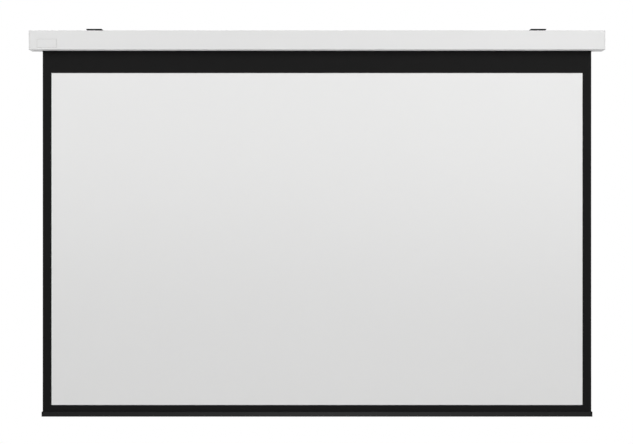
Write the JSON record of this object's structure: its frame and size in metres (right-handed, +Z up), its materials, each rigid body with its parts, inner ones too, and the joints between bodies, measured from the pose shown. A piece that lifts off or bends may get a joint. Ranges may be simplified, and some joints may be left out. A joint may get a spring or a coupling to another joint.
{
  "type": "projector screen",
  "caption": "Motorised projection screen: a slim casing on sliding brackets holds a roller that lowers and raises a white screen with a black border and a weight bar.",
  "frame": {"origin": "the middle of the casing's length, on the line where the wall behind the screen meets the ceiling above it", "axes": "+X along the casing to the viewer's right, +Y back towards the wall, +Z up"},
  "size_m": [2.5848, 0.1046, 1.747],
  "materials": {
    "casing_white": "extruded aluminium with a white powder coat, satin, with a very fine grain",
    "plate_white": "thin plate in the casing's white, smoother than the powder coat, blank",
    "cap_white": "moulded white plastic, lightly textured",
    "zinc_steel": "bright zinc plate",
    "bracket_black": "black powder coat on pressed steel",
    "black_plastic": "black moulded plastic",
    "brass": "turned brass",
    "cable_black": "black cable sheath",
    "motor_steel": "drawn steel tube, zinc plated",
    "copper_wound": "steel laminations under varnished copper windings",
    "grey_plastic": "grey glass-filled plastic",
    "roller_aluminium": "mill-finish extruded tube",
    "screen_black": "matt black coated screen cloth, fine weave",
    "screen_white": "matt white projection surface, very fine even grain",
    "tape_white": "self-adhesive tape",
    "bar_black": "extruded aluminium with a satin black powder coat",
    "bar_cap_black": "moulded black plastic"
  },
  "bodies": {
    "casing": {"back_profile": "casing_white", "front_cover": "casing_white", "blank_plate": "plate_white", "end_cap_left": "cap_white", "end_cap_right": "cap_white", "cap_screw_left_1": "zinc_steel", "cap_screw_left_2": "zinc_steel", "cap_screw_left_3": "zinc_steel", "cap_screw_left_4": "zinc_steel", "cap_screw_right_1": "zinc_steel", "cap_screw_right_2": "zinc_steel", "cap_screw_right_3": "zinc_steel", "cap_screw_right_4": "zinc_steel", "plate_screw_left_1": "zinc_steel", "plate_screw_left_2": "zinc_steel", "plate_screw_right_1": "zinc_steel", "plate_screw_right_2": "zinc_steel", "motor_bracket": "zinc_steel", "idle_bracket": "zinc_steel", "power_inlet": "black_plastic", "inlet_pin_live": "brass", "inlet_pin_earth": "brass", "inlet_pin_neutral": "brass", "motor_lead": "cable_black", "motor_head": "black_plastic", "motor_tube": "motor_steel", "motor_capacitor": "grey_plastic", "motor_windings": "copper_wound", "motor_brake": "black_plastic", "motor_gearbox": "motor_steel", "idle_bearing": "black_plastic", "screen_fabric": "screen_black", "picture_surface": "screen_white"},
    "roller": {"roller_tube": "roller_aluminium", "wound_fabric": "screen_black", "fixing_tape": "tape_white", "crown_ring": "grey_plastic", "output_shaft": "zinc_steel", "drive_wheel": "grey_plastic", "idle_plug": "grey_plastic", "idle_pin": "zinc_steel"},
    "foot_bar": {"weight_bar": "bar_black", "ballast_bar": "zinc_steel", "hem_rod": "grey_plastic", "bar_cap_left": "bar_cap_black", "bar_cap_right": "bar_cap_black"},
    "bracket_left": {"bracket_left_plate": "bracket_black", "bracket_left_rivet": "zinc_steel"},
    "bracket_right": {"bracket_right_plate": "bracket_black", "bracket_right_rivet": "zinc_steel"},
    "lock_left": {"bracket_left_lock": "zinc_steel"},
    "lock_right": {"bracket_right_lock": "zinc_steel"},
    "limit_up": {"limit_screw_up": "brass"},
    "limit_down": {"limit_screw_down": "brass"}
  },
  "joints": [
    {"name": "screen_lift", "type": "slide", "parent": "casing", "child": "foot_bar", "axis": [0, 0, 1], "range_m": [0, 1.646], "deforming": ["screen_fabric", "picture_surface"]},
    {"name": "roller_turn", "type": "hinge", "parent": "casing", "child": "roller", "pos_m": [0, -0.06048, -0.046], "axis": [1, 0, 0], "range_deg": [0, 3060]},
    {"name": "bracket_left_slide", "type": "slide", "parent": "casing", "child": "bracket_left", "axis": [1, 0, 0], "range_m": [-0.248, 0.952]},
    {"name": "bracket_right_slide", "type": "slide", "parent": "casing", "child": "bracket_right", "axis": [1, 0, 0], "range_m": [-0.945, 0.255]},
    {"name": "lock_left_turn", "type": "hinge", "parent": "bracket_left", "child": "lock_left", "pos_m": [-1.002, -0.0305, -0.01], "axis": [0, 0, 1], "range_deg": [0, 90]},
    {"name": "lock_right_turn", "type": "hinge", "parent": "bracket_right", "child": "lock_right", "pos_m": [0.995, -0.0305, -0.01], "axis": [0, 0, 1], "range_deg": [0, 90]},
    {"name": "limit_up_turn", "type": "hinge", "parent": "casing", "child": "limit_up", "pos_m": [-1.27325, -0.06048, -0.066], "axis": [0, 0, 1], "continuous": true},
    {"name": "limit_down_turn", "type": "hinge", "parent": "casing", "child": "limit_down", "pos_m": [-1.26125, -0.06048, -0.066], "axis": [0, 0, 1], "continuous": true}
  ],
  "couplings": [
    {"joint": "roller_turn", "follows": "screen_lift", "rad_per_m": 32.446}
  ]
}
